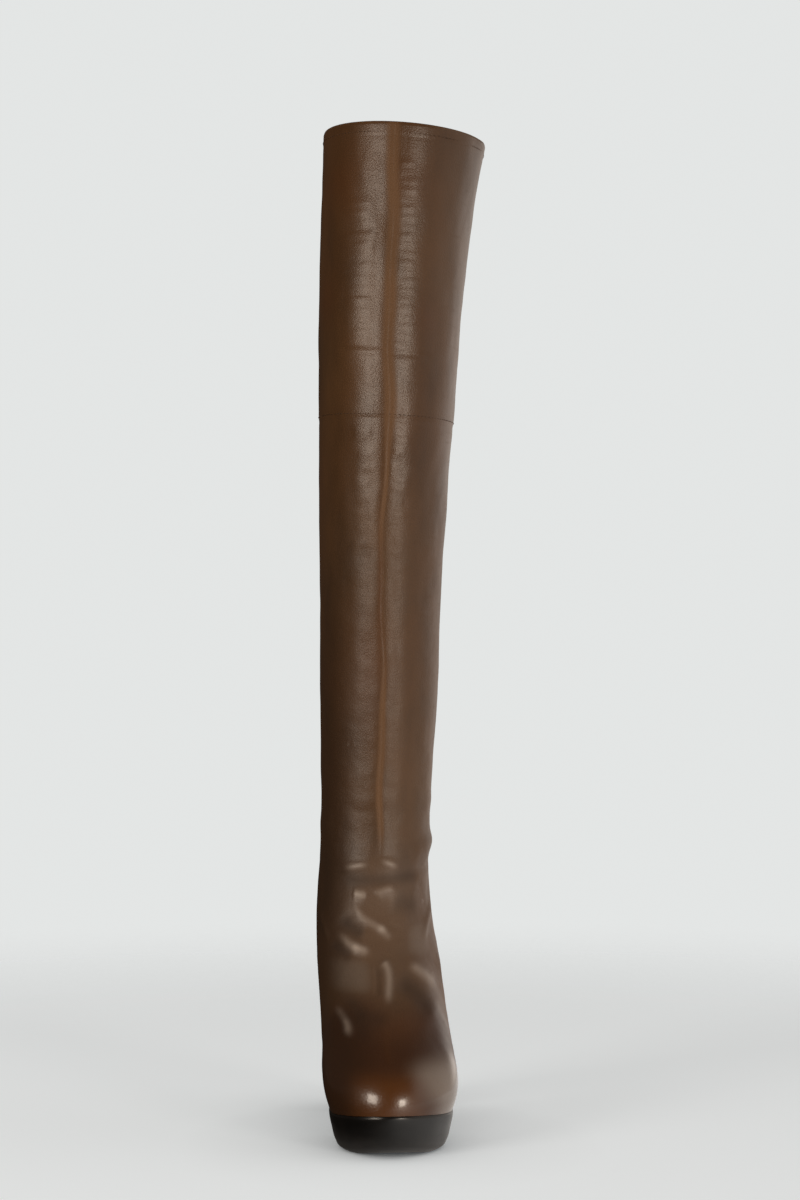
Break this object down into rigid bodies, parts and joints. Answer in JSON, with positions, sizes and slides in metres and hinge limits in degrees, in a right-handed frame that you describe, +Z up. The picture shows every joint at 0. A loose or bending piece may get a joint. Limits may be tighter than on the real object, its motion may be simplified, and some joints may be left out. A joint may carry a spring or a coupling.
{
  "type": "tall boot",
  "caption": "Tall over-the-knee left boot in brown leather with a raised front seam, a knee seam, a dark platform sole and a block heel, hollow and open at the collar.",
  "frame": {"origin": "centre of the boot's bounding box on the floor", "axes": "+Z up along the shaft, -Y towards the toe, +X towards the outer side of the wearer's left leg"},
  "size_m": [0.1228, 0.2631, 0.6937],
  "materials": {
    "brown_leather": "semi-gloss smooth calf",
    "platform_lacquer": "dark satin lacquer",
    "heel_lacquer": "dark satin lacquer",
    "lift_rubber": "matte",
    "insole_leather": "matte"
  },
  "bodies": {
    "root": {"upper": "brown_leather", "platform_sole": "platform_lacquer", "heel": "heel_lacquer", "heel_lift": "lift_rubber", "insole": "insole_leather"}
  },
  "joints": []
}
